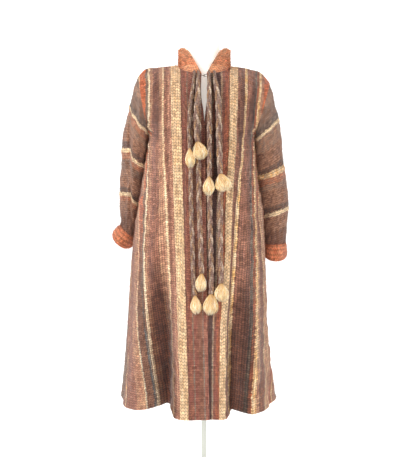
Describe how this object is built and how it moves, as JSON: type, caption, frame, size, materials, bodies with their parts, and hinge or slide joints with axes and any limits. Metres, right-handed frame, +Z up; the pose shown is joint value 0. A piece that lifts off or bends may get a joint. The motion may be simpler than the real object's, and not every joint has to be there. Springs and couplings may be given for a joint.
{
  "type": "knitted coat on a dress form",
  "caption": "Long hand-knitted open-front coat with a stand collar, rolled cuffs, plaited ties and fur tassels, worn by a limbless dress form on a stand.",
  "frame": {"origin": "centre of the stand base's underside, on the floor", "axes": "+Z up along the pole, the coat's front faces -Y, and the wearer's left is +X"},
  "size_m": [0.5787, 0.4254, 1.501],
  "materials": {
    "striped_knit": "hand-knitted wool and mohair in soft vertical stripes",
    "rust_mohair": "brushed rust-orange mohair knit",
    "braid_wool": "three-strand plait of flecked wool",
    "cream_fur": "long cream-yellow fur",
    "form_cover": "smooth white stretched cotton",
    "hook_wire": "blackened wire",
    "stand_metal": "satin pale grey enamel"
  },
  "bodies": {
    "root": {"right_front": "striped_knit", "left_front": "striped_knit", "back": "striped_knit", "right_sleeve": "striped_knit", "left_sleeve": "striped_knit", "right_cuff": "rust_mohair", "left_cuff": "rust_mohair", "collar": "rust_mohair", "tie_1": "braid_wool", "tie_2": "braid_wool", "tie_3": "braid_wool", "tie_4": "braid_wool", "tie_5": "braid_wool", "tie_6": "braid_wool", "tie_7": "braid_wool", "tie_8": "braid_wool", "tassel_1": "cream_fur", "tassel_2": "cream_fur", "tassel_3": "cream_fur", "tassel_4": "cream_fur", "tassel_5": "cream_fur", "tassel_6": "cream_fur", "tassel_7": "cream_fur", "tassel_8": "cream_fur", "neck_hook": "hook_wire", "neck_eye": "hook_wire", "dress_form": "form_cover", "stand_pole": "stand_metal", "stand_base": "stand_metal"}
  },
  "joints": []
}
